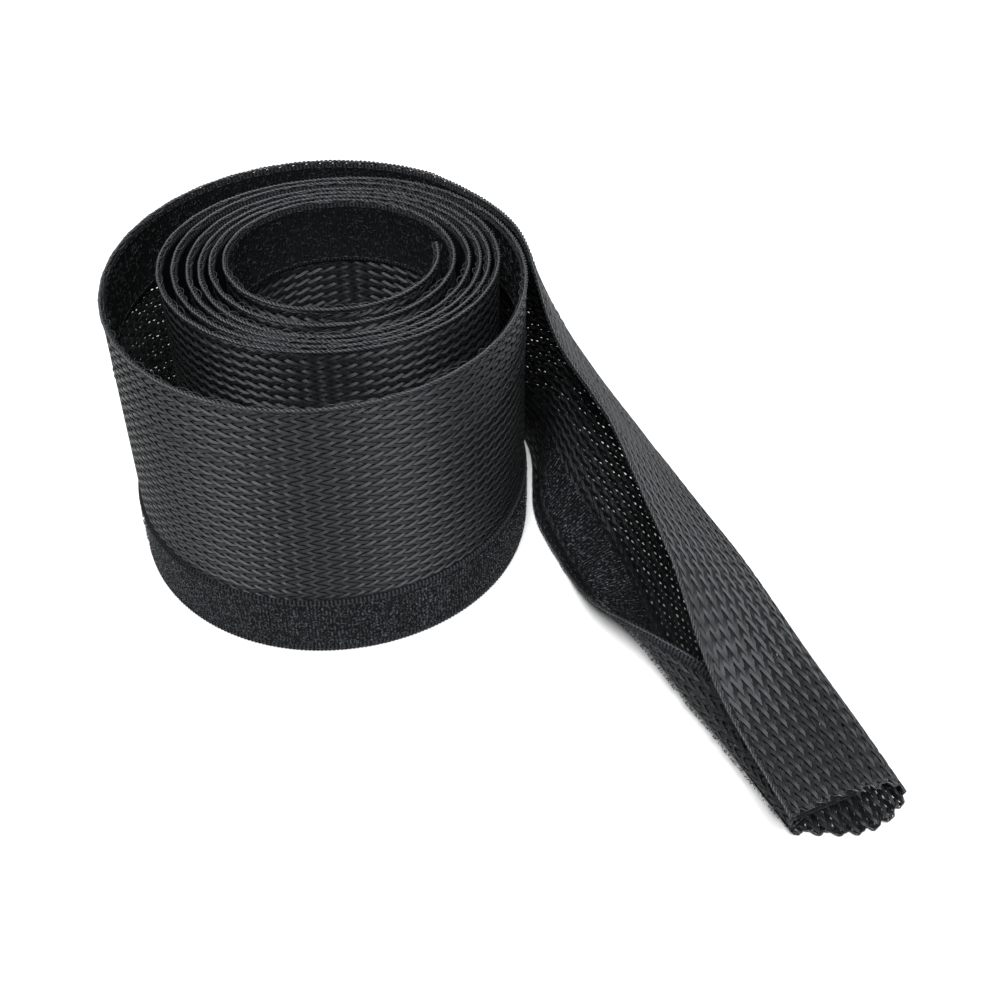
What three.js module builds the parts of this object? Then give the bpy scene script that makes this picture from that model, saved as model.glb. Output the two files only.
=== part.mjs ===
// Hook and loop cable sleeve: an open braided band, coiled up on its edge, with its free end closed to a tube.
// Millimetres, +Z up. The roll stands on the band's bottom edge and the free end lies on the same floor.
import * as THREE from 'three';

// Band and tapes
const BAND_WIDTH = 85;
const BRAID_THICKNESS = 0.7;
const RIDGE_HEIGHT = 0.5;
const TAPE_WIDTH = 20;
const TAPE_THICKNESS = 0.8;
const TAPE_SEAT = 0.3;
const TURN_CLEARANCE = 0.3;

// Roll: quarter turns are counted from the right, by the back, the left and the front, from outside to inside
const OUTER_CENTRE = new THREE.Vector2(-0.9, 0);
const CORE_CENTRE = new THREE.Vector2(4, 7.5);
const CENTRE_SHIFT_ANGLES = [330, 450];
const CORE_RADII = [29.6, 25.3, 28.3, 27];
const LOOP_STAND_OFF = [2.6, 15.6, 6.4, 13.9, 9.2];
const TURN_SLACK = [
  0.3, 1.9, 0.1, 0.5,
  1.3, 2, 0, 0.3,
  0.1, 1.1, 0, 0.9,
  0, 0.6, 2.9, 2,
  0, 1.4, 4.9, 2.3,
  0,
];
const TIGHT_STEP = 15;
const LOOP_STEP = 10;
const LOOP_INNER_ANGLE = 390;
const CORE_END_ANGLE = 2535;

// Free end: headings in plan, then how far the lower and the upper part of the band have closed to a tube
const TAIL_ANGLE = 60;
const TAIL_LENGTH = 205;
const TAIL_STEPS = 35;
const TAIL_HEADINGS = [-42.5, -52.5, -59, -61.5, -61.5, -64.5];
const LOWER_CURL = [0, 0, 0.24, 0.38, 0.62, 0.85, 1];
const UPPER_CURL = [0, 0.13, 0.4, 0.46, 0.7, 1.02, 1];
const FOLD_PLACE = [50, 50, 50, 50.5, 56, 56, 54];
const HOOK_FLAT = 7;
const LOWER_BEND_END = 24;
const FLOOR_END = 37;
const SIDE_START = 52;
const FOLD_HALF_WIDTH = 6;
const PLAN_LINE = 50;
const END_REACH = [-4, -3, 4.5, 3.5, 0, 0];
const END_STEPS = 8;

// Weave: rows of ridges across the band and diamond gaps in the free end's open wall
const LOOP_ROWS = 10;
const GAP_LENGTH = 2.4;
const GAP_WIDTH = 1.5;
const GAP_STEPS = [3, 23];

const TURN_PITCH = BRAID_THICKNESS + TAPE_SEAT + TAPE_THICKNESS + TURN_CLEARANCE;
const HALF_BRAID = BRAID_THICKNESS / 2;
const TAPE_NEAR = HALF_BRAID + TAPE_SEAT;
const TAPE_FAR = TAPE_NEAR + TAPE_THICKNESS;
const LOOP_TAPE_START = BAND_WIDTH - TAPE_WIDTH;

const rad = THREE.MathUtils.degToRad;
const smooth = (x, from, to) => THREE.MathUtils.smoothstep(x, from, to);

// A smooth curve through evenly spaced values
function through(values, place) {
  const last = values.length - 1;
  const i = Math.min(Math.max(Math.floor(place), 0), last - 1);
  const t = place - i;
  const at = (k) => values[Math.min(Math.max(k, 0), last)];
  const slopeStart = i === 0 ? at(1) - at(0) : (at(i + 1) - at(i - 1)) / 2;
  const slopeEnd = i === last - 1 ? at(last) - at(last - 1) : (at(i + 2) - at(i)) / 2;
  const t2 = t * t;
  const t3 = t2 * t;
  return (2 * t3 - 3 * t2 + 1) * at(i) + (t3 - 2 * t2 + t) * slopeStart
    + (3 * t2 - 2 * t3) * at(i + 1) + (t3 - t2) * slopeEnd;
}

// The roll's radius at each quarter turn, added up from the core outwards, so that no turn meets the next one
function quarterRadii() {
  const slack = [...LOOP_STAND_OFF, ...TURN_SLACK];
  const radii = [...slack.map(() => 0), ...CORE_RADII];
  for (let k = slack.length - 1; k >= 0; k -= 1) {
    radii[k] = radii[k + 4] + TURN_PITCH + slack[k];
  }
  return radii;
}

const RADII = quarterRadii();
const quarterTurns = (angle) => angle / 90;

// A point of the band's middle surface in plan, by its angle counted inwards from the right of the outer loop
function rollPoint(angle) {
  const shift = smooth(angle, ...CENTRE_SHIFT_ANGLES);
  const radius = through(RADII, quarterTurns(angle));
  const centre = OUTER_CENTRE.clone().lerp(CORE_CENTRE, shift);
  return centre.add(new THREE.Vector2(Math.cos(rad(angle)), Math.sin(rad(angle))).multiplyScalar(radius));
}

// A station of the path: its point, its heading outwards, its section's shape, and its share in the uneven cut
function station(point, heading, lower = 0, upper = 0, fold = FOLD_PLACE[0], cut = 0) {
  const along = new THREE.Vector2(Math.cos(heading), Math.sin(heading));
  return { point, along, inward: new THREE.Vector2(along.y, -along.x), lower, upper, fold, cut };
}

function rollStation(angle) {
  const ahead = rollPoint(angle - 0.5).sub(rollPoint(angle + 0.5));
  return station(rollPoint(angle), ahead.angle());
}

function tightStations() {
  const list = [];
  for (let angle = CORE_END_ANGLE; angle > LOOP_INNER_ANGLE; angle -= TIGHT_STEP) {
    list.push(rollStation(angle));
  }
  return list;
}

function loopStations() {
  const list = [];
  for (let angle = LOOP_INNER_ANGLE; angle > TAIL_ANGLE; angle -= LOOP_STEP) {
    list.push(rollStation(angle));
  }
  return list;
}

// The free end leaves the roll along its tangent and then follows its headings
function tailStations() {
  const start = rollStation(TAIL_ANGLE);
  const turn = 2 * Math.PI;
  const firstHeading = THREE.MathUtils.radToDeg(start.along.angle() - turn);
  const headings = [firstHeading, ...TAIL_HEADINGS];
  const step = TAIL_LENGTH / TAIL_STEPS;
  const headingAt = (i) => rad(through(headings, (i / TAIL_STEPS) * (headings.length - 1)));
  const point = start.point.clone();
  const list = [];
  for (let i = 0; i <= TAIL_STEPS; i += 1) {
    const place = (i / TAIL_STEPS) * (LOWER_CURL.length - 1);
    const heading = headingAt(i);
    list.push(station(point.clone(), heading, through(LOWER_CURL, place), through(UPPER_CURL, place),
      through(FOLD_PLACE, place), smooth(i, TAIL_STEPS - END_STEPS, TAIL_STEPS)));
    const middle = headingAt(i + 0.5);
    point.add(new THREE.Vector2(Math.cos(middle), Math.sin(middle)).multiplyScalar(step));
  }
  return list;
}

// The direction of the band across its width, as an angle from the inward direction, 90 degrees where it stands
function acrossAngle(w, place) {
  const lowerBend = 180 * (1 - smooth(w, HOOK_FLAT, LOWER_BEND_END));
  const sideBend = 90 * (1 - smooth(w, FLOOR_END, SIDE_START));
  const fold = 90 * smooth(w, place.fold - FOLD_HALF_WIDTH, place.fold + FOLD_HALF_WIDTH);
  return rad(90 + place.lower * (lowerBend + sideBend) - place.upper * fold);
}

// A station's section: offsets inwards and up of the middle surface and its normal, worked out in small steps
function section(place) {
  const steps = BAND_WIDTH * 4;
  const step = BAND_WIDTH / steps;
  const points = [{ n: 0, z: 0 }];
  for (let i = 0; i < steps; i += 1) {
    const a = acrossAngle((i + 0.5) * step, place);
    points.push({ n: points[i].n + Math.cos(a) * step, z: points[i].z + Math.sin(a) * step });
  }
  const at = (w) => {
    const k = Math.min(w / step, steps - 1e-6);
    const i = Math.floor(k);
    const t = k - i;
    const mix = (key) => points[i][key] * (1 - t) + points[i + 1][key] * t;
    const a = acrossAngle(w, place);
    return { n: mix('n'), z: mix('z'), normalN: Math.sin(a), normalZ: -Math.cos(a) };
  };
  const lowest = (w) => {
    const { z, normalZ } = at(w);
    const outerReach = w <= TAPE_WIDTH ? TAPE_FAR : HALF_BRAID + RIDGE_HEIGHT;
    return Math.min(z + HALF_BRAID * normalZ, z - outerReach * normalZ);
  };
  let floor = Infinity;
  for (let i = 0; i <= steps; i += 1) floor = Math.min(floor, lowest(i * step));
  return { at, floor, sideways: at(PLAN_LINE).n };
}

// A point at a width on the band, moved along the normal: positive offsets lie on the loop side
function surfacePoint(place, w, offset) {
  place.section ??= section(place);
  const { at, floor, sideways } = place.section;
  const { n, z, normalN, normalZ } = at(w);
  const inward = place.inward.clone().multiplyScalar(n - sideways + offset * normalN);
  const reach = place.cut * through(END_REACH, (w / BAND_WIDTH) * (END_REACH.length - 1));
  const plan = place.point.clone().add(inward).addScaledVector(place.along, reach);
  return [plan.x, plan.y, z - floor + offset * normalZ];
}

// Rows over the width of the free end, closer together where it bends
function spread(from, to, count) {
  return Array.from({ length: count }, (_, i) => from + ((to - from) * (i + 1)) / count);
}

const HOOK_ROWS = [0, HOOK_FLAT, ...spread(HOOK_FLAT, TAPE_WIDTH, 5)];
const FOLD_END = Math.max(...FOLD_PLACE) - 2 + FOLD_HALF_WIDTH;
const WALL_ROWS = [
  ...spread(TAPE_WIDTH, LOWER_BEND_END, 1),
  ...spread(LOWER_BEND_END, FLOOR_END, 3),
  ...spread(FLOOR_END, FOLD_END, 7),
];
const LOOP_TAPE_ROWS = [LOOP_TAPE_START, ...spread(LOOP_TAPE_START, BAND_WIDTH, 4)];
const TAIL_ROWS = [...HOOK_ROWS, ...WALL_ROWS, ...LOOP_TAPE_ROWS];
const PLAIN_ROWS = [0, BAND_WIDTH];
const RIDGED_ROWS = [0, TAPE_WIDTH, ...spread(TAPE_WIDTH, BAND_WIDTH, LOOP_ROWS)];

// A closed shell between two faces that follow the path
class Shell {
  constructor() {
    this.positions = [];
    this.triangles = [];
  }

  vertex(point) {
    this.positions.push(...point);
    return this.positions.length / 3 - 1;
  }

  triangle(a, b, c, flip = false) {
    this.triangles.push(...(flip ? [a, c, b] : [a, b, c]));
  }

  quad(a, b, c, d, flip = false) {
    this.triangle(a, b, c, flip);
    this.triangle(a, c, d, flip);
  }

  column(place, rows, offsetAt) {
    return rows.map((w, row) => ({ w, id: this.vertex(surfacePoint(place, w, offsetAt(w, row))) }));
  }

  // Joins two columns that may have different rows
  zip(a, b, flip) {
    let i = 0;
    let j = 0;
    while (i < a.length - 1 || j < b.length - 1) {
      const stepA = j === b.length - 1 || (i < a.length - 1 && a[i + 1].w < b[j + 1].w);
      if (stepA) {
        this.triangle(a[i].id, b[j].id, a[i + 1].id, flip);
        i += 1;
      } else {
        this.triangle(a[i].id, b[j].id, b[j + 1].id, flip);
        j += 1;
      }
    }
  }

  // Joins two columns that have the same rows, cell by cell
  cells(a, b, flip) {
    for (let row = 0; row < a.length - 1; row += 1) {
      this.quad(a[row].id, b[row].id, b[row + 1].id, a[row + 1].id, flip);
    }
  }

  // The four points of a gap in the middle of a cell
  gapRing(corners, length, width) {
    const point = (id) => new THREE.Vector3().fromArray(this.positions, id * 3);
    const [a, b, c, d] = corners.map(point);
    const centre = a.clone().add(b).add(c).add(d).divideScalar(4);
    const along = b.clone().add(c).sub(a).sub(d).normalize().multiplyScalar(length / 2);
    const across = c.clone().add(d).sub(a).sub(b).normalize().multiplyScalar(width / 2);
    const ring = [
      centre.clone().sub(across), centre.clone().add(along),
      centre.clone().add(across), centre.clone().sub(along),
    ];
    return ring.map((p) => this.vertex(p.toArray()));
  }

  frameCell(corners, ring, flip) {
    for (let k = 0; k < 4; k += 1) {
      const next = (k + 1) % 4;
      this.triangle(corners[k], corners[next], ring[k], flip);
      this.triangle(corners[next], ring[next], ring[k], flip);
    }
  }

  // A cell with a gap through the wall
  gapCell(inner, outer) {
    const innerRing = this.gapRing(inner, GAP_LENGTH, GAP_WIDTH);
    const outerRing = this.gapRing(outer, GAP_LENGTH, GAP_WIDTH);
    this.frameCell(inner, innerRing, false);
    this.frameCell(outer, outerRing, true);
    for (let k = 0; k < 4; k += 1) {
      const next = (k + 1) % 4;
      this.quad(innerRing[k], innerRing[next], outerRing[next], outerRing[k]);
    }
  }

  edges(a, b) {
    const last = (column) => column[column.length - 1].id;
    this.quad(a.inner[0].id, a.outer[0].id, b.outer[0].id, b.inner[0].id);
    this.quad(last(a.outer), last(a.inner), last(b.inner), last(b.outer));
  }

  cap(ring, flip) {
    for (let row = 0; row < ring.inner.length - 1; row += 1) {
      this.quad(ring.inner[row].id, ring.inner[row + 1].id, ring.outer[row + 1].id, ring.outer[row].id, flip);
    }
  }

  mesh(name, colour, roughness) {
    const geometry = new THREE.BufferGeometry();
    geometry.setAttribute('position', new THREE.Float32BufferAttribute(this.positions, 3));
    geometry.setIndex(this.triangles);
    geometry.computeVertexNormals();
    const mesh = new THREE.Mesh(geometry, new THREE.MeshStandardMaterial({ color: colour, roughness }));
    mesh.name = name;
    return mesh;
  }
}

const corner = (a, b, row) => [a[row].id, b[row].id, b[row + 1].id, a[row + 1].id];

const tight = tightStations();
const loop = loopStations();
const tail = tailStations();

// The braid: plain in the tight turns, ridged on the outer loop, ridged and open-woven at the free end
function braidedSleeve() {
  const shell = new Shell();
  const ridge = (step) => (w, row) => {
    const raised = step > 0 && w > TAPE_WIDTH && w < BAND_WIDTH && (step + row) % 2 === 0;
    return -HALF_BRAID - (raised ? RIDGE_HEIGHT : 0);
  };
  const innerFace = () => HALF_BRAID;
  const plainOuter = () => -HALF_BRAID;
  const rings = [
    ...tight.map((place) => ({
      inner: shell.column(place, PLAIN_ROWS, innerFace), outer: shell.column(place, PLAIN_ROWS, plainOuter),
    })),
    ...loop.map((place, i) => ({
      inner: shell.column(place, PLAIN_ROWS, innerFace), outer: shell.column(place, RIDGED_ROWS, ridge(i)),
    })),
    ...tail.map((place, i) => ({
      inner: shell.column(place, TAIL_ROWS, innerFace), outer: shell.column(place, TAIL_ROWS, ridge(loop.length + i)),
    })),
  ];
  const tailStart = tight.length + loop.length;
  const isGap = (step, row) => {
    const inWall = TAIL_ROWS[row] > TAPE_WIDTH && TAIL_ROWS[row + 1] < LOOP_TAPE_START;
    return inWall && step >= GAP_STEPS[0] && step < GAP_STEPS[1] && (step + row) % 2 === 0;
  };
  for (let i = 0; i < rings.length - 1; i += 1) {
    const a = rings[i];
    const b = rings[i + 1];
    shell.edges(a, b);
    if (i < tailStart) {
      shell.zip(a.inner, b.inner, false);
      shell.zip(a.outer, b.outer, true);
      continue;
    }
    for (let row = 0; row < TAIL_ROWS.length - 1; row += 1) {
      const inner = corner(a.inner, b.inner, row);
      const outer = corner(a.outer, b.outer, row);
      if (isGap(i - tailStart, row)) {
        shell.gapCell(inner, outer);
      } else {
        shell.quad(...inner);
        shell.quad(...outer, true);
      }
    }
  }
  shell.cap(rings[0], false);
  shell.cap(rings[rings.length - 1], true);
  return shell.mesh('braided_sleeve', 0x2a2b2d, 0.45);
}

// A woven tape that follows the band, on its loop side or on its hook side
function tape(name, colour, rollRows, tailRows, innerOffset, outerOffset) {
  const shell = new Shell();
  const ring = (rows) => (place) => ({
    inner: shell.column(place, rows, () => innerOffset), outer: shell.column(place, rows, () => outerOffset),
  });
  const rings = [...tight.map(ring(rollRows)), ...loop.map(ring(rollRows)), ...tail.map(ring(tailRows))];
  for (let i = 0; i < rings.length - 1; i += 1) {
    shell.edges(rings[i], rings[i + 1]);
    if (rings[i].inner.length === rings[i + 1].inner.length) {
      shell.cells(rings[i].inner, rings[i + 1].inner, false);
      shell.cells(rings[i].outer, rings[i + 1].outer, true);
    } else {
      shell.zip(rings[i].inner, rings[i + 1].inner, false);
      shell.zip(rings[i].outer, rings[i + 1].outer, true);
    }
  }
  shell.cap(rings[0], false);
  shell.cap(rings[rings.length - 1], true);
  return shell.mesh(name, colour, 0.9);
}

function hookTape() {
  return tape('hook_tape', 0x1d1e20, [0, TAPE_WIDTH], HOOK_ROWS, -TAPE_NEAR, -TAPE_FAR);
}

function loopTape() {
  const rollRows = [LOOP_TAPE_START, BAND_WIDTH];
  return tape('loop_tape', 0x232426, rollRows, LOOP_TAPE_ROWS, TAPE_FAR, TAPE_NEAR);
}

const sleeve = new THREE.Group();
sleeve.add(braidedSleeve(), hookTape(), loopTape());

// The origin is on the floor, below the middle of the part's outline
const box = new THREE.Box3().setFromObject(sleeve);
const middle = box.getCenter(new THREE.Vector3());
sleeve.position.set(-middle.x, -middle.y, -box.min.z);

export default sleeve;
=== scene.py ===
import math

import bpy
import numpy as np
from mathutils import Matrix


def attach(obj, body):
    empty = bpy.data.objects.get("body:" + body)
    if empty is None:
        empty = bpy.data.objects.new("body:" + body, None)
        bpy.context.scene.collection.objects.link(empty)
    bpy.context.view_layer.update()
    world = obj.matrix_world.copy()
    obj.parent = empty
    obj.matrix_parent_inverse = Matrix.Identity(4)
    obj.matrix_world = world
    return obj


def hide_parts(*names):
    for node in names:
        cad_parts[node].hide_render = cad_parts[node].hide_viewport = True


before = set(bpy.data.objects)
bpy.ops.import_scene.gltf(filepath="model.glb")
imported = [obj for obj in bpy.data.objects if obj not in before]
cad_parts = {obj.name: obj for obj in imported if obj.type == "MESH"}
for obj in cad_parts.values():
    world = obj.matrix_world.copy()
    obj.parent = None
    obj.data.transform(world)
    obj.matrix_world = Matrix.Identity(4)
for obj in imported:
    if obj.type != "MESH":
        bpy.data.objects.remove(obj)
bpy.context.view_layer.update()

bpy.ops.object.select_all(action="DESELECT")
RANDOM = np.random.default_rng(7)
MM = 0.001

# Band and tapes
BAND_WIDTH = 85.0
BRAID_THICKNESS = 0.7
TAPE_WIDTH = 20.0
TAPE_THICKNESS = 0.8
TAPE_SEAT = 0.3
TURN_CLEARANCE = 0.3
RIDGE_HEIGHT = 0.5
HALF_BRAID = BRAID_THICKNESS / 2
TAPE_NEAR = HALF_BRAID + TAPE_SEAT
TAPE_FAR = TAPE_NEAR + TAPE_THICKNESS
LOOP_TAPE_START = BAND_WIDTH - TAPE_WIDTH
TURN_PITCH = BRAID_THICKNESS + TAPE_SEAT + TAPE_THICKNESS + TURN_CLEARANCE

# Roll, by quarter turns from the right of the outer loop inwards
OUTER_CENTRE = np.array([-0.9, 0.0])
CORE_CENTRE = np.array([4.0, 7.5])
CENTRE_SHIFT_ANGLES = (330.0, 450.0)
CORE_RADII = [29.6, 25.3, 28.3, 27]
LOOP_STAND_OFF = [2.6, 15.6, 6.4, 13.9, 9.2]
TURN_SLACK = [
    0.3, 1.9, 0.1, 0.5,
    1.3, 2, 0, 0.3,
    0.1, 1.1, 0, 0.9,
    0, 0.6, 2.9, 2,
    0, 1.4, 4.9, 2.3,
    0,
]
CORE_END_ANGLE = 2535.0

# Free end
TAIL_ANGLE = 60.0
TAIL_LENGTH = 205.0
TAIL_HEADINGS = [-42.5, -52.5, -59, -61.5, -61.5, -64.5]
LOWER_CURL = [0, 0, 0.24, 0.38, 0.62, 0.85, 1]
UPPER_CURL = [0, 0.13, 0.4, 0.46, 0.7, 1.02, 1]
FOLD_PLACE = [50, 50, 50, 50.5, 56, 56, 54]
HOOK_FLAT = 7.0
LOWER_BEND_END = 24.0
FLOOR_END = 37.0
SIDE_START = 52.0
FOLD_HALF_WIDTH = 6.0
PLAN_LINE = 50.0
END_REACH = [-4, -3, 4.5, 3.5, 0, 0]
END_LENGTH = 8 * TAIL_LENGTH / 35

# Moves the outer loop's centre, so that the middle of the part's outline is at the frame's origin
FRAME_SHIFT = np.array([-45.819, 32.705])

# Camera, from the outer loop's centre
CAMERA_PLACE = np.array([49.3, -326.8, 298.6])
CAMERA_PITCH = 42.26
CAMERA_LENS = 51.73

# Braid: spacing of the strands' crossings along and across the band
CROSSING_ROWS = 116
CROSSING_ALONG = 2.0
CROSSING_ACROSS = BAND_WIDTH / CROSSING_ROWS
STRAND_WIDTH = 1.0
STRAND_THICKNESS = 0.22
STRAND_RISE = 0.24
SELVEDGE_INSET = 0.35

# Tapes: where each woven tape starts and ends across the band, and where its faces lie off the braid's middle
HOOK_WEAVE_START = 0.4
LOOP_WEAVE_END = BAND_WIDTH - 0.6
HOOK_SELVEDGE = 2.0
LOOP_SELVEDGE = 1.5
RIB_PITCH = 1.1
COLUMN_PITCH = 0.95
HOOK_TAPE_FACES = (-0.42, -1.1)
LOOP_TAPE_FACES = (0.42, 1.0)

# Seams: where the stitches run, and how far they press the braid down
SEAM_LINES = (1.4, TAPE_WIDTH - 1.4, LOOP_TAPE_START + 1.4, BAND_WIDTH - 1.6)
SEAM_DEPTH = 0.65
SEAM_REACH = 0.9
STITCH_LENGTH = 2.4
STITCH_GAP = 0.7
STITCH_RADIUS = 0.14
STITCH_ON_BRAID = 0.42
STITCH_ON_HOOK_TAPE = -1.12
STITCH_ON_LOOP_TAPE = 1.02

# Braid that is partly hidden: the lowest width that shows, and the plain layer behind the strands
RIMS_LOWEST = 70
TIGHT_FACE_LOWEST = 32
BACKING_START = 0.5
BACKING_OFFSET = 0.25
BACKING_THICKNESS = 0.5
BACKING_TOP_TURNS = 71
BACKING_TOP_LOOP = 33
HIDDEN_STEP = 3


def smooth(x, start, end):
    t = np.clip((x - start) / (end - start), 0, 1)
    return t * t * (3 - 2 * t)


def through(values, place):
    """A smooth curve through evenly spaced values."""
    v = np.asarray(values, float)
    last = len(v) - 1
    place = np.asarray(place, float)
    i = np.clip(np.floor(place).astype(int), 0, last - 1)
    t = place - i
    slope = np.gradient(v)
    return (
        (2 * t**3 - 3 * t**2 + 1) * v[i]
        + (t**3 - 2 * t**2 + t) * slope[i]
        + (3 * t**2 - 2 * t**3) * v[i + 1]
        + (t**3 - t**2) * slope[i + 1]
    )


class Band:
    """The band's middle surface: s runs along it from the core, w across it from the bottom edge."""

    STEP = 0.5

    def __init__(self):
        self.roll_path()
        self.tail_path()
        self.sections()

    def roll_path(self):
        slack = LOOP_STAND_OFF + TURN_SLACK
        radii = [0.0] * len(slack) + CORE_RADII
        for k in reversed(range(len(slack))):
            radii[k] = radii[k + 4] + TURN_PITCH + slack[k]
        self.angle = np.arange(CORE_END_ANGLE, TAIL_ANGLE - 0.01, -1.0)
        shift = smooth(self.angle, *CENTRE_SHIFT_ANGLES)[:, None]
        turned = np.radians(self.angle)
        round_ = np.stack([np.cos(turned), np.sin(turned)], 1)
        radius = through(radii, self.angle / 90)[:, None]
        self.path = OUTER_CENTRE * (1 - shift) + CORE_CENTRE * shift + radius * round_
        steps = np.hypot(*np.diff(self.path, axis=0).T)
        self.s = np.concatenate([[0], np.cumsum(steps)])
        self.roll_s = self.s
        self.roll_length = self.s[-1]

    def at_angle(self, angle):
        return float(np.interp(-angle, -self.angle, self.roll_s))

    def tail_path(self):
        ahead = self.path[-1] - self.path[-2]
        first = math.degrees(math.atan2(ahead[1], ahead[0]))
        count = int(TAIL_LENGTH / self.STEP)
        share = (np.arange(count) + 0.5) / count
        heading = np.radians(through([first] + TAIL_HEADINGS, share * len(TAIL_HEADINGS)))
        moves = np.stack([np.cos(heading), np.sin(heading)], 1) * TAIL_LENGTH / count
        self.path = np.concatenate([self.path, self.path[-1] + np.cumsum(moves, 0)])
        beyond = TAIL_LENGTH * np.arange(1, count + 1) / count
        self.s = np.concatenate([self.s, self.roll_length + beyond])
        self.length = self.s[-1]

    def sections(self):
        """Tables over evenly spaced stations and widths: lean, reach inwards and height."""
        self.stations = np.arange(0, self.length + self.STEP, self.STEP)
        self.plan = np.stack([np.interp(self.stations, self.s, self.path[:, k]) for k in (0, 1)], 1)
        ahead = np.gradient(self.plan, axis=0)
        self.along = ahead / np.hypot(*ahead.T)[:, None]
        share = np.clip((self.stations - self.roll_length) / TAIL_LENGTH, 0, 1) * (len(LOWER_CURL) - 1)
        lower, upper, fold = (through(v, share)[:, None] for v in (LOWER_CURL, UPPER_CURL, FOLD_PLACE))
        self.cut = smooth(self.stations, self.length - END_LENGTH, self.length)
        self.widths = np.arange(0, BAND_WIDTH + 0.01, self.STEP)

        def across(w):
            lower_bend = 180 * (1 - smooth(w, HOOK_FLAT, LOWER_BEND_END))
            side_bend = 90 * (1 - smooth(w, FLOOR_END, SIDE_START))
            folded = 90 * smooth(w, fold - FOLD_HALF_WIDTH, fold + FOLD_HALF_WIDTH)
            return np.radians(90 + lower * (lower_bend + side_bend) - upper * folded)

        self.lean = across(self.widths[None])
        middle = across(self.widths[None, :-1] + self.STEP / 2)
        zero = np.zeros((len(self.stations), 1))
        self.n = np.concatenate([zero, np.cumsum(np.cos(middle) * self.STEP, 1)], 1)
        self.z = np.concatenate([zero, np.cumsum(np.sin(middle) * self.STEP, 1)], 1)
        self.n -= self.n[:, [int(PLAN_LINE / self.STEP)]]
        reach = np.where(self.widths <= TAPE_WIDTH, TAPE_FAR, HALF_BRAID + RIDGE_HEIGHT)[None]
        rise = -np.cos(self.lean)
        self.z -= np.minimum(self.z + HALF_BRAID * rise, self.z - reach * rise).min(1, keepdims=True)

    def place(self, s, w, off):
        """Points in millimetres in the frame; offsets above 0 lie on the loop tape's side."""
        s, w, off = np.broadcast_arrays(s, w, off)
        beyond = np.maximum(s - self.length, 0)
        ks = np.clip(s / self.STEP, 0, len(self.stations) - 1.001)
        kw = np.clip(w / self.STEP, 0, len(self.widths) - 1.001)
        i, j = ks.astype(int), kw.astype(int)
        a, b = ks - i, kw - j

        def mixed(table):
            low = table[i, j] * (1 - a) + table[i + 1, j] * a
            return low * (1 - b) + (table[i, j + 1] * (1 - a) + table[i + 1, j + 1] * a) * b

        n, z, lean = mixed(self.n), mixed(self.z), mixed(self.lean)
        spare = w - np.clip(w, 0, BAND_WIDTH)
        n = n + np.cos(lean) * spare + off * np.sin(lean)
        z = z + np.sin(lean) * spare - off * np.cos(lean)
        plan = self.plan[i] * (1 - a)[..., None] + self.plan[i + 1] * a[..., None]
        along = self.along[i] * (1 - a)[..., None] + self.along[i + 1] * a[..., None]
        inward = np.stack([along[..., 1], -along[..., 0]], -1)
        cut = self.cut[i] * (1 - a) + self.cut[i + 1] * a
        forward = beyond + cut * through(END_REACH, np.clip(w / BAND_WIDTH, 0, 1) * (len(END_REACH) - 1))
        plan = plan + inward * n[..., None] + along * forward[..., None] + FRAME_SHIFT
        return np.concatenate([plan, z[..., None]], -1)


BAND = Band()
# Places along the band: the innermost turn ends, the outermost tight turn starts, and the loose loop starts
CORE_TURN_END = BAND.at_angle(2150)
TIGHT_FACE_START = BAND.at_angle(800)
LOOP_START = BAND.at_angle(430)
TAIL_START = BAND.roll_length


def mesh_piece(name, points, quads, paint, values=None, triangles=(), angle=50, uv=None):
    """A piece from points in millimetres, with one number for each point under each name in values."""
    quads = np.asarray(quads, np.int32).reshape(-1, 4)
    triangles = np.asarray(triangles, np.int32).reshape(-1, 3)
    p = np.asarray(points, float).reshape(-1, 3)
    corners = np.concatenate([quads[:, [0, 1, 2]], quads[:, [0, 2, 3]], triangles])
    a, b, c = (p[corners[:, k]] for k in range(3))
    if np.einsum("ij,ij->i", a, np.cross(b, c)).sum() < 0:
        quads, triangles = quads[:, ::-1], triangles[:, ::-1]
    mesh = bpy.data.meshes.new(name)
    mesh.vertices.add(len(p))
    mesh.vertices.foreach_set("co", (p * MM).astype(np.float32).ravel())
    loops = np.concatenate([quads.ravel(), triangles.ravel()])
    mesh.loops.add(len(loops))
    mesh.loops.foreach_set("vertex_index", loops)
    starts = np.concatenate([np.arange(len(quads)) * 4, quads.size + np.arange(len(triangles)) * 3])
    mesh.polygons.add(len(starts))
    mesh.polygons.foreach_set("loop_start", starts.astype(np.int32))
    mesh.update(calc_edges=True)
    for key, data in (values or {}).items():
        layer = mesh.attributes.new(key, "FLOAT", "POINT")
        layer.data.foreach_set("value", np.asarray(data, np.float32).ravel())
    if uv is not None:
        layer = mesh.uv_layers.new(name="UVMap")
        layer.data.foreach_set("uv", np.asarray(uv, np.float32)[loops].ravel())
    mesh.materials.append(paint)
    piece = bpy.data.objects.new(name, mesh)
    bpy.context.collection.objects.link(piece)
    piece.select_set(True)
    bpy.context.view_layer.objects.active = piece
    bpy.ops.object.shade_smooth_by_angle(angle=math.radians(angle))
    piece.select_set(False)
    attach(piece, "root")
    return piece


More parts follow.
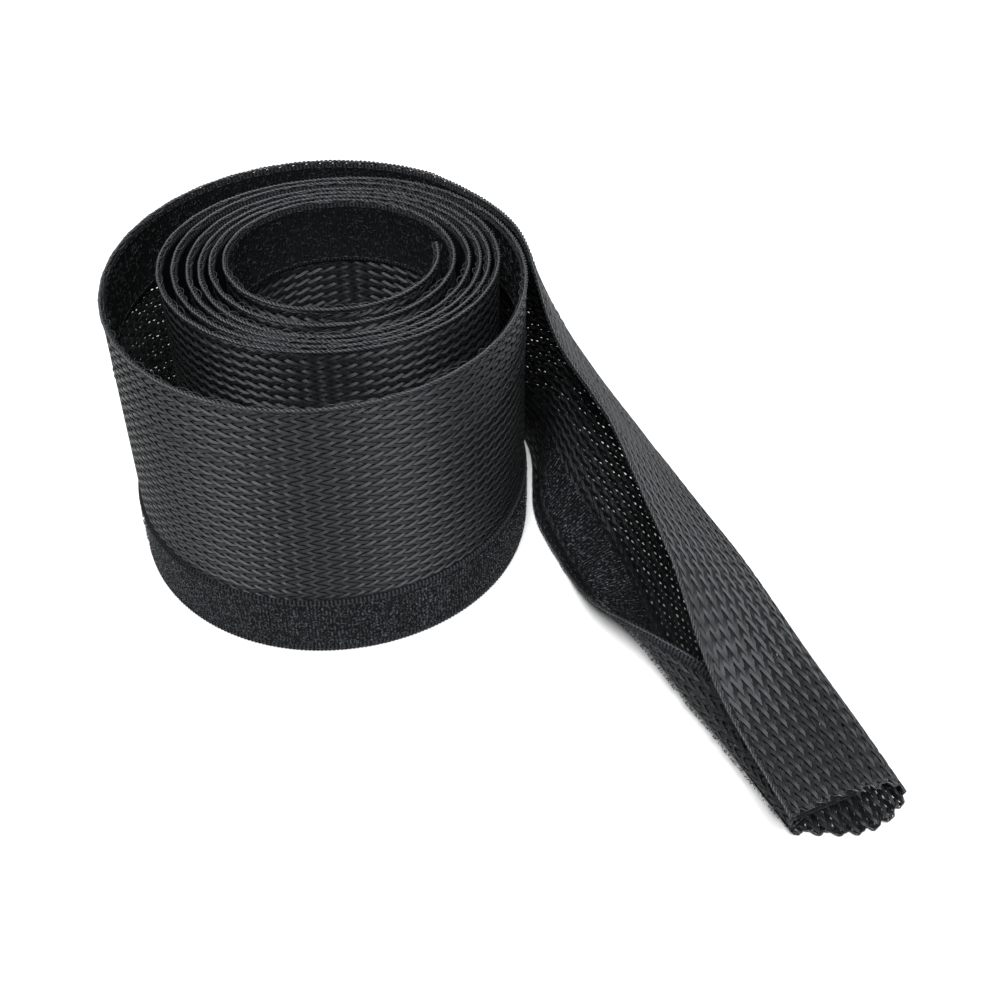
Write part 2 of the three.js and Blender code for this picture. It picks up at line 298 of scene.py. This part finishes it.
def tubes(rings, keep=None):
    """Closed tubes. rings is strand by ring by side by place; keep says which rings exist."""
    strands, count, sides = rings.shape[:3]
    keep = np.ones((strands, count), bool) if keep is None else keep
    place = np.arange(count)
    after_one = np.roll(keep, 1, 1) & (place > 0)
    before_one = np.roll(keep, -1, 1) & (place < count - 1)
    keep = keep & (after_one | before_one)
    number = np.cumsum(keep.ravel()).reshape(keep.shape) - 1
    joined = keep[:, :-1] & keep[:, 1:]
    a = number[:, :-1][joined][:, None] * sides
    b = number[:, 1:][joined][:, None] * sides
    side = np.arange(sides)[None]
    following = (side + 1) % sides
    quads = np.stack([a + side, a + following, b + following, b + side], -1).reshape(-1, 4)
    first = keep.copy()
    first[:, 1:] &= ~keep[:, :-1]
    last = keep.copy()
    last[:, :-1] &= ~keep[:, 1:]
    start = number[first][:, None] * sides
    end = number[last][:, None] * sides
    if sides == 4:
        caps = np.concatenate([start + [3, 2, 1, 0], end + [0, 1, 2, 3]])
        return rings[keep], np.concatenate([quads, caps]), np.zeros((0, 3), int), keep
    return rings[keep], quads, np.concatenate([start + [2, 1, 0], end + [0, 1, 2]]), keep


def seam_press(w):
    """How much of the braid's height is left beside the stitches."""
    left = 1.0
    for line in SEAM_LINES:
        left = left * (1 - SEAM_DEPTH * np.exp(-(((w - line) / SEAM_REACH) ** 2)))
    return left


def strand_rings(lay, first, last):
    """The rings of the strands of one lay, which cross the band between two places along it."""
    low = math.floor((first / CROSSING_ALONG - CROSSING_ROWS) / 2) - 1
    high = math.ceil((last / CROSSING_ALONG + CROSSING_ROWS) / 2) + 1
    strand = np.arange(low, high)[:, None]
    row = np.arange(CROSSING_ROWS + 1)[None]
    s = (2 * strand + lay * row) * CROSSING_ALONG
    w = np.broadcast_to(row * CROSSING_ACROSS, s.shape)
    above = (row % 4 < 2) if lay < 0 else (row % 4 >= 2)
    off = np.where(above, -STRAND_RISE, STRAND_RISE) * seam_press(w)
    wander = 0.07 * np.sin(s * 0.071 + strand * 1.7) + 0.04 * np.sin(s * 0.23 + strand * 0.9)
    w = w + wander * smooth(w, 0, 3) * (1 - smooth(w, BAND_WIDTH - 3, BAND_WIDTH))
    spacing = math.hypot(CROSSING_ALONG, CROSSING_ACROSS)
    across = np.array([CROSSING_ACROSS, -lay * CROSSING_ALONG]) / spacing
    half = STRAND_WIDTH / 2 * (1 + 0.06 * np.sin(strand * 2.3))
    thick = STRAND_THICKNESS / 2
    corners = ((half, -thick), (-half, -thick), (-half, thick), (half, thick))
    rings = np.stack([np.stack([s + across[0] * x, w + across[1] * x, off + y], -1) for x, y in corners], 2)
    rings[..., 1] = np.clip(rings[..., 1], SELVEDGE_INSET, BAND_WIDTH - SELVEDGE_INSET)
    along = np.broadcast_to(row * spacing, s.shape)
    tone = np.broadcast_to((np.sin(strand * 12.9898 + lay) * 43758.5453) % 1, s.shape)
    return s, w, rings, along, tone


def hot_cut(w):
    """The scalloped line where the free end is cut and melted."""
    return BAND.length - 0.9 + 0.6 * np.sin(w * 1.37) + 0.25 * np.sin(w * 2.9 + 1)


def braid(name, first, last, lowest):
    """The strands between two places along the band, above a width, open where the strands leave gaps."""
    points, quads, across, along, tone = [], [], [], [], []
    base = 0
    for lay in (-1, 1):
        s, w, rings, run, shade = strand_rings(lay, first, last)
        end = hot_cut(w) if last >= BAND.length else last
        begin = 0.0 if first > 0 else -CROSSING_ALONG
        keep = (s >= first + begin) & (s <= end + CROSSING_ALONG) & (w >= lowest)
        rings[..., 0] = np.clip(rings[..., 0], 0.2, hot_cut(rings[..., 1]))
        kept, faces, _, keep = tubes(rings, keep)
        points.append(BAND.place(kept[..., 0], kept[..., 1], kept[..., 2]).reshape(-1, 3))
        quads.append(faces + base)
        across.append(np.tile([0.0, 1.0, 1.0, 0.0], len(kept)))
        along.append(np.repeat(run[keep], 4))
        tone.append(np.repeat(shade[keep], 4))
        base += len(kept) * 4
    uv = np.stack([np.concatenate(across), np.concatenate(along) / STRAND_WIDTH], 1)
    values = {"tone": np.concatenate(tone)}
    return mesh_piece(name, np.concatenate(points), np.concatenate(quads), STRAND, values, uv=uv)


# Shader helpers
def node(tree, kind, inputs=None, **settings):
    made = tree.nodes.new(kind)
    for key, value in settings.items():
        setattr(made, key, value)
    for key, value in (inputs or {}).items():
        if isinstance(value, bpy.types.NodeSocket):
            tree.links.new(value, made.inputs[key])
        else:
            made.inputs[key].default_value = value
    return made


def math_node(tree, operation, a, b=0.0, c=None):
    inputs = {0: a, 1: b} if c is None else {0: a, 1: b, 2: c}
    return node(tree, "ShaderNodeMath", inputs, operation=operation).outputs[0]


def shade_mix(tree, factor, a, b):
    made = node(tree, "ShaderNodeMix", data_type="RGBA")
    for socket, value in ((made.inputs[0], factor), (made.inputs[6], a), (made.inputs[7], b)):
        if isinstance(value, bpy.types.NodeSocket):
            tree.links.new(value, socket)
        else:
            socket.default_value = value
    return made.outputs[2]


def lint_group():
    """A faint uneven lightening, as lint and handling leave on black fabric."""
    group = bpy.data.node_groups.new("lint", "ShaderNodeTree")
    group.interface.new_socket("Amount", in_out="INPUT", socket_type="NodeSocketFloat")
    group.interface.new_socket("Mask", in_out="OUTPUT", socket_type="NodeSocketFloat")
    source = node(group, "NodeGroupInput")
    place = node(group, "ShaderNodeTexCoord").outputs["Object"]
    broad = node(group, "ShaderNodeTexNoise", {"Vector": place, "Scale": 38.0, "Detail": 3.0}).outputs[0]
    fine = node(group, "ShaderNodeTexNoise", {"Vector": place, "Scale": 900.0, "Detail": 2.0}).outputs[0]
    mixed = math_node(group, "MULTIPLY", broad, fine)
    scaled = math_node(group, "MULTIPLY", mixed, source.outputs[0])
    node(group, "NodeGroupOutput", {0: scaled})
    return group


LINT = lint_group()
LINT_COLOUR = (0.3, 0.3, 0.3, 1)


def material(name, roughness=0.5, specular=0.5):
    made = bpy.data.materials.new(name)
    made.use_nodes = True
    tree = made.node_tree
    shader = tree.nodes["Principled BSDF"]
    shader.inputs["Specular IOR Level"].default_value = specular
    shader.inputs["Specular Tint"].default_value = (0.92, 0.955, 1.0, 1)
    shader.inputs["Roughness"].default_value = roughness
    return made, tree, shader


def lint(tree, amount):
    return node(tree, "ShaderNodeGroup", {"Amount": amount}, node_tree=LINT).outputs[0]


def attribute(tree, name):
    return node(tree, "ShaderNodeAttribute", attribute_name=name).outputs["Fac"]


def bumped(tree, shader, height, distance):
    bump = node(tree, "ShaderNodeBump", {"Height": height, "Distance": distance})
    tree.links.new(bump.outputs[0], shader.inputs["Normal"])


def strand_material():
    """Three round filaments side by side in each flat strand, with highlights stretched along them."""
    made, tree, shader = material("braid_strand", specular=0.58)
    uv = node(tree, "ShaderNodeUVMap", uv_map="UVMap").outputs[0]
    across = node(tree, "ShaderNodeSeparateXYZ", {0: uv}).outputs[0]
    wave = math_node(tree, "SINE", math_node(tree, "MULTIPLY", across, 3 * math.pi))
    rounded = math_node(tree, "POWER", math_node(tree, "ABSOLUTE", wave), 0.6)
    tone = attribute(tree, "tone")
    dark = shade_mix(tree, tone, (0.002, 0.0024, 0.0027, 1), (0.004, 0.0047, 0.0052, 1))
    # The colour goes darker between the filaments: painted shade in the grooves.
    painted_groove_shade = shade_mix(tree, rounded, (0.001, 0.001, 0.001, 1), dark)
    colour = shade_mix(tree, lint(tree, 0.015), painted_groove_shade, LINT_COLOUR)
    tree.links.new(colour, shader.inputs["Base Color"])
    place = node(tree, "ShaderNodeTexCoord").outputs["Object"]
    cloud = node(tree, "ShaderNodeTexNoise", {"Vector": place, "Scale": 240.0, "Detail": 3.0}).outputs[0]
    rough = node(tree, "ShaderNodeMapRange", {"Value": cloud, "To Min": 0.5, "To Max": 0.62}).outputs[0]
    tree.links.new(rough, shader.inputs["Roughness"])
    shader.inputs["Anisotropic"].default_value = 0.92
    tangent = node(tree, "ShaderNodeTangent", direction_type="UV_MAP", uv_map="UVMap").outputs[0]
    tree.links.new(tangent, shader.inputs["Tangent"])
    bumped(tree, shader, rounded, 0.00016)
    return made


def sheet_material():
    """The braid deep between the turns, where only its rows show."""
    made, tree, shader = material("braid_between_turns", 0.5)
    across = attribute(tree, "width")
    along = attribute(tree, "along")
    rows = math_node(tree, "SINE", math_node(tree, "MULTIPLY", across, math.pi / CROSSING_ACROSS / 2))
    cross = math_node(tree, "SINE", math_node(tree, "MULTIPLY", along, math.pi / CROSSING_ALONG))
    pattern = math_node(tree, "MULTIPLY", rows, cross)
    shade = math_node(tree, "MULTIPLY_ADD", pattern, 0.5, 0.5)
    # The colour goes darker where the rows sink between the crossings: painted shade in the hollows.
    base = shade_mix(tree, shade, (0.001, 0.001, 0.0012, 1), (0.004, 0.0043, 0.0048, 1))
    colour = shade_mix(tree, lint(tree, 0.015), base, LINT_COLOUR)
    tree.links.new(colour, shader.inputs["Base Color"])
    bumped(tree, shader, pattern, 0.0003)
    return made


def tape_material(name, start, edge, base, painted_crest_highlight, painted_glint, field_scale):
    """Woven tape: ribbed selvedges with painted highlights on the rib crests, and a dark field with specks
    painted as highlights where filaments catch the light.
    """
    made, tree, shader = material(name, 0.8, 0.08)
    place = node(tree, "ShaderNodeTexCoord").outputs["Object"]
    along = attribute(tree, "along")
    width = attribute(tree, "width")
    middle = start + TAPE_WIDTH / 2
    from_middle = math_node(tree, "ABSOLUTE", math_node(tree, "SUBTRACT", width, middle))
    selvedge = math_node(tree, "GREATER_THAN", from_middle, TAPE_WIDTH / 2 - edge)
    rib = math_node(tree, "SINE", math_node(tree, "MULTIPLY", along, 2 * math.pi / RIB_PITCH))
    # The rib crests are painted lighter than the base: a painted highlight on each crest.
    rib_highlight_mask = node(tree, "ShaderNodeMapRange", {"Value": rib, "From Min": -0.6, "From Max": 0.8}).outputs[0]
    grain_inputs = {"Vector": place, "Scale": field_scale, "Detail": 4.0}
    grain = node(tree, "ShaderNodeTexNoise", grain_inputs).outputs[0]
    columns = math_node(tree, "SINE", math_node(tree, "MULTIPLY", along, 2 * math.pi / COLUMN_PITCH))
    field = math_node(tree, "MULTIPLY_ADD", columns, 0.04, grain)
    # Bright specks in the field are painted highlights where filaments catch the light.
    glint_mask = node(tree, "ShaderNodeMapRange", {"Value": field, "From Min": 0.53, "From Max": 0.7}).outputs[0]
    broad = node(tree, "ShaderNodeTexNoise", {"Vector": place, "Scale": 90.0, "Detail": 2.0}).outputs[0]
    patchy_glint_mask = math_node(tree, "MULTIPLY", glint_mask, math_node(tree, "ADD", broad, 0.35))
    field_with_glints = shade_mix(tree, patchy_glint_mask, base, painted_glint)
    selvedge_with_highlights = shade_mix(tree, rib_highlight_mask, base, painted_crest_highlight)
    woven = shade_mix(tree, selvedge, field_with_glints, selvedge_with_highlights)
    colour = shade_mix(tree, lint(tree, 0.02), woven, LINT_COLOUR)
    tree.links.new(colour, shader.inputs["Base Color"])
    height = math_node(tree, "ADD", math_node(tree, "MULTIPLY", rib, 0.25), field)
    bumped(tree, shader, height, 0.0004)
    return made


def thread_material(name, colour, roughness):
    made, tree, shader = material(name, roughness)
    place = node(tree, "ShaderNodeTexCoord").outputs["Object"]
    twist = node(tree, "ShaderNodeTexNoise", {"Vector": place, "Scale": 1800.0, "Detail": 2.0}).outputs[0]
    dark, light = (tuple(c * share for c in colour) + (1,) for share in (0.6, 1.5))
    tone = shade_mix(tree, twist, dark, light)
    tree.links.new(tone, shader.inputs["Base Color"])
    bumped(tree, shader, twist, 0.0001)
    return made


STRAND = strand_material()
SHEET = sheet_material()
# The tapes' crest and speck colours are painted highlights.
HOOK_WEAVE = tape_material(
    "hook_weave", start=0.2, edge=2.2, base=(0.001, 0.0012, 0.0014, 1), painted_crest_highlight=(0.022, 0.024, 0.027, 1),
    painted_glint=(0.07, 0.077, 0.085, 1), field_scale=1500.0,
)
LOOP_WEAVE = tape_material(
    "loop_weave", start=LOOP_TAPE_START - 0.3, edge=1.6, base=(0.002, 0.0022, 0.0025, 1),
    painted_crest_highlight=(0.02, 0.022, 0.024, 1), painted_glint=(0.018, 0.02, 0.022, 1), field_scale=1900.0,
)
HOOK_PLASTIC = thread_material("hook_filament", (0.03, 0.032, 0.035), 0.22)
PILE_YARN = thread_material("loop_yarn", (0.014, 0.015, 0.0165), 0.6)
THREAD = thread_material("sewing_thread", (0.008, 0.008, 0.009), 0.5)

# Braid: the strands are modelled where they can be seen
core_turn = braid("braid_core_turn", 0, CORE_TURN_END, 0)
rims = braid("braid_rims", CORE_TURN_END, TIGHT_FACE_START, RIMS_LOWEST)
tight_face = braid("braid_tight_face", TIGHT_FACE_START, LOOP_START, TIGHT_FACE_LOWEST)
outer_loop = braid("braid_outer_loop", LOOP_START, TAIL_START, 0)
free_end = braid("braid_free_end", TAIL_START, BAND.length, 0)
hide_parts("braided_sleeve")


def laid_strip(name, places, rows, offset, thickness, paint):
    """A grid laid along the band and given its thickness. offset gives its outer face at s and w."""
    nx, ny = len(places) - 1, len(rows) - 1
    bpy.ops.mesh.primitive_grid_add(x_subdivisions=nx, y_subdivisions=ny, size=1)
    piece = bpy.context.active_object
    piece.name = name
    mesh = piece.data
    flat = np.empty(len(mesh.vertices) * 3, np.float32)
    mesh.vertices.foreach_get("co", flat)
    flat = flat.reshape(-1, 3)
    s = np.asarray(places, float)[np.rint((flat[:, 0] + 0.5) * nx).astype(int)]
    w = np.asarray(rows, float)[np.rint((flat[:, 1] + 0.5) * ny).astype(int)]
    mesh.vertices.foreach_set("co", (BAND.place(s, w, offset(s, w)) * MM).astype(np.float32).ravel())
    for key, data in (("along", s), ("width", w)):
        layer = mesh.attributes.new(key, "FLOAT", "POINT")
        layer.data.foreach_set("value", data.astype(np.float32))
    solid = piece.modifiers.new("thickness", "SOLIDIFY")
    solid.thickness = abs(thickness) * MM
    solid.offset = 1 if thickness > 0 else -1
    bpy.ops.object.modifier_apply(modifier=solid.name)
    bpy.ops.object.mode_set(mode="EDIT")
    bpy.ops.mesh.select_all(action="SELECT")
    bpy.ops.mesh.normals_make_consistent(inside=False)
    bpy.ops.object.mode_set(mode="OBJECT")
    bpy.ops.object.shade_smooth_by_angle(angle=math.radians(40))
    mesh.materials.append(paint)
    piece.select_set(False)
    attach(piece, "root")
    return piece


def stations(*spans):
    """Places along the band, each span with its own step, from (first, last, step)."""
    places = [np.arange(first, last, step) for first, last, step in spans]
    return np.append(np.concatenate(places), spans[-1][1])


def hidden_braid(name, first, last, rows):
    """The braid's middle where the turns hide it."""
    places = stations((first, last, HIDDEN_STEP))
    return laid_strip(
        name, places, rows, lambda s, w: np.full(s.shape, BACKING_OFFSET), BACKING_THICKNESS, SHEET
    )


between_turns = hidden_braid(
    "braid_between_turns", CORE_TURN_END, TIGHT_FACE_START, [BACKING_START, 20, 40, BACKING_TOP_TURNS]
)
behind_loop = hidden_braid(
    "braid_behind_loop", TIGHT_FACE_START, LOOP_START, [BACKING_START, 20, BACKING_TOP_LOOP]
)


# Tapes
def tape_rows(start, end, edge):
    """Widths of a tape's grid lines, close together at both edges."""
    insets = (0, 0.3, edge * 0.55, edge)
    return [start + inset for inset in insets] + [end - inset for inset in reversed(insets)]


def tape(name, start, end, edge, faces, paint, node_name):
    """A woven tape with rounded edges, ribbed selvedges and a thinner field between them."""
    near, far = faces

    def face(s, w):
        near_edge = np.minimum(w - start, end - w)
        rounding = 0.3 * (1 - smooth(near_edge, -0.1, 0.5))
        selvedge = 1 - smooth(near_edge, edge - 0.3, edge)
        rib = 0.16 * selvedge * np.cos(2 * np.pi * s / RIB_PITCH)
        return far - np.sign(far) * (rounding + 0.12 * (1 - selvedge) - rib)

    fine = RIB_PITCH / 2
    places = stations(
        (0, CORE_TURN_END, fine), (CORE_TURN_END, LOOP_START, HIDDEN_STEP), (LOOP_START, BAND.length, fine)
    )
    piece = laid_strip(name, places, tape_rows(start, end, edge), face, near - far, paint)
    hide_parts(node_name)
    return piece


hook_tape = tape(
    "hook_tape_weave", HOOK_WEAVE_START, TAPE_WIDTH, HOOK_SELVEDGE, HOOK_TAPE_FACES, HOOK_WEAVE,
    "hook_tape",
)
loop_tape = tape(
    "loop_tape_weave", LOOP_TAPE_START, LOOP_WEAVE_END, LOOP_SELVEDGE, LOOP_TAPE_FACES, LOOP_WEAVE,
    "loop_tape",
)


def bent_fibres(name, spans, widths, density, height, radius, lean, face, paint):
    """Short bent filaments, density to the square millimetre, that stand on the face at an offset."""
    places = []
    for first, last in spans:
        count = int((last - first) * (widths[1] - widths[0]) * density)
        s = RANDOM.uniform(first, last, count)
        columns = np.round(RANDOM.uniform(*widths, count) / COLUMN_PITCH) * COLUMN_PITCH
        w = np.clip(columns + RANDOM.normal(0, 0.18, count), *widths)
        places.append(np.stack([s, w], 1))
    places = np.concatenate(places)
    count = len(places)
    turn = RANDOM.uniform(0, 2 * np.pi, count)
    reach = lean * RANDOM.uniform(0.6, 1.3, count)
    tall = height * RANDOM.uniform(0.7, 1.15, count)
    arc = np.pi * 0.95 * np.linspace(0, 1, 4)[None]
    out = tall[:, None] * np.sin(arc * 0.78)
    slide = reach[:, None] * (1 - np.cos(arc)) / 2
    s = places[:, :1] + slide * np.cos(turn)[:, None]
    w = places[:, 1:] + slide * np.sin(turn)[:, None]
    sides = np.arange(3) * 2 * np.pi / 3
    beside = (turn + np.pi / 2)[:, None, None]
    ring_s = s[..., None] + radius * np.cos(sides) * np.cos(beside)
    ring_w = w[..., None] + radius * np.cos(sides) * np.sin(beside)
    ring_off = np.sign(face) * (abs(face) - 0.05 + out[..., None] + radius * np.sin(sides))
    rings = np.stack([ring_s, ring_w, ring_off], -1)
    kept, quads, triangles, _ = tubes(rings)
    points = BAND.place(kept[..., 0], kept[..., 1], kept[..., 2]).reshape(-1, 3)
    return mesh_piece(name, points, quads, paint, triangles=triangles, angle=180)


hooks = bent_fibres(
    "hooks", [(LOOP_START + 30, BAND.length - 1)], (2.6, TAPE_WIDTH - 2.4),
    density=0.8, height=0.5, radius=0.09, lean=0.55, face=-0.98, paint=HOOK_PLASTIC,
)
pile = bent_fibres(
    "loop_pile", [(0, CORE_TURN_END), (LOOP_START, BAND.length - 1)],
    (LOOP_TAPE_START + 1.6, BAND_WIDTH - 2.2),
    density=0.4, height=0.34, radius=0.07, lean=1.2, face=0.88, paint=PILE_YARN,
)


# Stitches
def stitches(name, lines, spans):
    """Rows of stitches along lines of width and offset."""
    rows = []
    for first, last in spans:
        starts = np.arange(first + 1, last - STITCH_LENGTH - 1, STITCH_LENGTH + STITCH_GAP)
        for w, off in lines:
            t = np.linspace(0, 1, 3)[None]
            s = starts[:, None] + STITCH_LENGTH * t
            dip = np.sign(off) * (abs(off) + 0.12 * np.sin(np.pi * t) - 0.1)
            wave = w + 0.12 * np.sin(starts * 1.3)[:, None]
            rows.append(np.stack(np.broadcast_arrays(s, wave, dip), -1))
    centre = np.concatenate(rows)
    angle = np.arange(4) * np.pi / 2
    taper = np.array([0.7, 1.1, 0.7])[None, :, None] * STITCH_RADIUS
    ring_w = centre[..., 1:2] + taper * np.cos(angle)
    ring_off = centre[..., 2:3] + taper * np.sin(angle)
    ring_s = np.broadcast_to(centre[..., :1], ring_w.shape)
    kept, quads, triangles, _ = tubes(np.stack([ring_s, ring_w, ring_off], -1))
    points = BAND.place(kept[..., 0], kept[..., 1], kept[..., 2]).reshape(-1, 3)
    return mesh_piece(name, points, quads, THREAD, triangles=triangles, angle=180)


def seam(lines, on_tape):
    """The lines of a tape's stitches, on the tape and on the braid's other side."""
    on_braid = -math.copysign(STITCH_ON_BRAID, on_tape)
    return [(line, off) for off in (on_tape, on_braid) for line in lines]


bottom_lines = seam(SEAM_LINES[:2], STITCH_ON_HOOK_TAPE)
top_lines = seam(SEAM_LINES[2:], STITCH_ON_LOOP_TAPE)
stitch_rows = stitches("stitches", bottom_lines + top_lines, [(LOOP_START, BAND.length - 2)])
core_stitch_rows = stitches("core_stitches", top_lines, [(0, CORE_TURN_END)])


def cord_piece(name, centre, radius, sides, paint):
    """Round threads through rows of points in s, w and offset."""
    angle = np.arange(sides) * 2 * np.pi / sides
    radius = np.broadcast_to(radius, centre.shape[:2])[..., None]
    rings = np.stack(
        [
            np.broadcast_to(centre[..., :1], centre.shape[:2] + (sides,)),
            centre[..., 1:2] + radius * np.cos(angle),
            centre[..., 2:3] + radius * np.sin(angle),
        ],
        -1,
    )
    kept, quads, triangles, _ = tubes(rings)
    points = BAND.place(kept[..., 0], kept[..., 1], kept[..., 2]).reshape(-1, 3)
    return mesh_piece(name, points, quads, paint, triangles=triangles, angle=180)


ROPE_PITCH = 2.6
ROPE_RADIUS = 0.3


def rope(name, first, last, edge):
    """Two threads twisted together along an edge of the band."""
    s = np.arange(first, last, ROPE_PITCH / 5)
    turned = 2 * np.pi * s / ROPE_PITCH
    swell = 1 + 0.2 * np.sin(s * 0.61) + 0.12 * np.sin(s * 1.9)
    threads = []
    for half in (0, np.pi):
        w = edge + ROPE_RADIUS * swell * np.cos(turned + half)
        off = -0.2 + ROPE_RADIUS * swell * np.sin(turned + half)
        threads.append(np.stack([s, w, off], -1))
    return cord_piece(name, np.stack(threads), ROPE_RADIUS, 4, ROPE)


def stray_filaments(name, first, last, edge, pitch, radius):
    """Thin filaments that leave the edge rope in low loops and come back to it."""
    starts = np.arange(first + 1, last - 8, pitch)
    starts = starts[RANDOM.random(len(starts)) < 0.72]
    span = RANDOM.uniform(0.8, 2.0, len(starts))[:, None] * pitch
    t = np.linspace(0, 1, 8)[None]
    bow = RANDOM.uniform(0.4, 1.5, len(starts))[:, None] * np.sin(np.pi * t) ** 0.8
    s = starts[:, None] + span * t
    w = edge + 0.15 + RANDOM.uniform(0.1, 0.5, len(starts))[:, None] * np.sin(np.pi * t)
    return cord_piece(name, np.stack([s, w, bow - 0.05], -1), radius, 3, ROPE)


ROPE = thread_material("edge_rope", (0.016, 0.0172, 0.0185), 0.45)
top_rope = rope("edge_rope_top", 0.5, BAND.length - 0.5, BAND_WIDTH - 0.35)
bottom_rope = rope("edge_rope_bottom", LOOP_START, BAND.length - 4, 0.45)
filaments = stray_filaments("edge_filaments", 0, TAIL_START, BAND_WIDTH - 0.3, 3.3, 0.11)


def melted_ends(name):
    """The beads of melted plastic along both cut ends."""
    w = np.arange(0.5, BAND_WIDTH - 0.4, 0.45)
    off = 0.12 * np.sin(w * 2.3)
    swell = 0.34 * (1 + 0.25 * np.sin(w * 1.37 + 0.4) + 0.15 * np.sin(w * 4.1))
    free = np.stack([hot_cut(w), w, off], -1)
    core = np.stack([0.4 + 0.2 * np.sin(w * 1.1), w, off], -1)
    return cord_piece(name, np.stack([free, core]), swell[None], 5, MELTED)


MELTED = thread_material("melted_edge", (0.01, 0.011, 0.012), 0.35)
cut_beads = melted_ends("cut_edges")


# Stage, light and camera
bpy.ops.mesh.primitive_plane_add(size=30, location=(0, 0, 0))
floor = bpy.context.active_object
floor.name = "floor"
floor_paint, _, floor_shader = material("floor_paint", 0.9, 0.2)
floor_shader.inputs["Base Color"].default_value = (0.6, 0.6, 0.6, 1)
floor.data.materials.append(floor_paint)
floor.select_set(False)


PART_MIDDLE = (0.0, 0.0, 0.05)
KEY_ENERGY = 6.5
KEY_ANGLE = 28
KEY_TILT = 31


def soft_light(name, place, size, power):
    """A rectangular lamp that faces the part."""
    lamp = bpy.data.lights.new(name, "AREA")
    lamp.shape = "RECTANGLE"
    lamp.size, lamp.size_y = size
    lamp.energy = power
    holder = bpy.data.objects.new(name, lamp)
    bpy.context.collection.objects.link(holder)
    holder.location = place
    towards = np.array(PART_MIDDLE) - np.array(place)
    yaw = math.atan2(towards[1], towards[0]) - math.pi / 2
    pitch = math.atan2(towards[2], math.hypot(towards[0], towards[1])) + math.pi / 2
    holder.rotation_euler = (pitch, 0, yaw)


key = bpy.data.lights.new("key_light", "SUN")
key.energy = KEY_ENERGY
key.angle = math.radians(KEY_ANGLE)
key_holder = bpy.data.objects.new("key_light", key)
bpy.context.collection.objects.link(key_holder)
key_holder.rotation_euler = (math.radians(KEY_TILT), 0, 0)
soft_light("back_light", (0.0, 0.7, 0.9), (1.0, 0.4), 9)
soft_light("left_light", (-0.9, -0.1, 0.5), (0.3, 0.6), 1.5)
soft_light("right_light", (0.9, -0.2, 0.5), (0.3, 0.6), 2.5)

# The world gives a low even light, and is white where the camera sees it
world = bpy.data.worlds.new("studio")
world.use_nodes = True
backdrop = world.node_tree.nodes["Background"]
backdrop.inputs[0].default_value = (1, 1, 1, 1)
seen = node(world.node_tree, "ShaderNodeLightPath").outputs["Is Camera Ray"]
levels = {"Value": seen, "To Min": 0.12, "To Max": 1.0}
strength = node(world.node_tree, "ShaderNodeMapRange", levels).outputs[0]
world.node_tree.links.new(strength, backdrop.inputs[1])
bpy.context.scene.world = world

view = bpy.data.cameras.new("camera")
view.lens = CAMERA_LENS
view.sensor_width = 36
camera = bpy.data.objects.new("camera", view)
bpy.context.collection.objects.link(camera)
camera.location = (np.append(CAMERA_PLACE[:2] + FRAME_SHIFT, CAMERA_PLACE[2])) * MM
camera.rotation_euler = (math.radians(90 - CAMERA_PITCH), 0, 0)
bpy.context.scene.camera = camera
bpy.context.scene.view_settings.view_transform = "Standard"
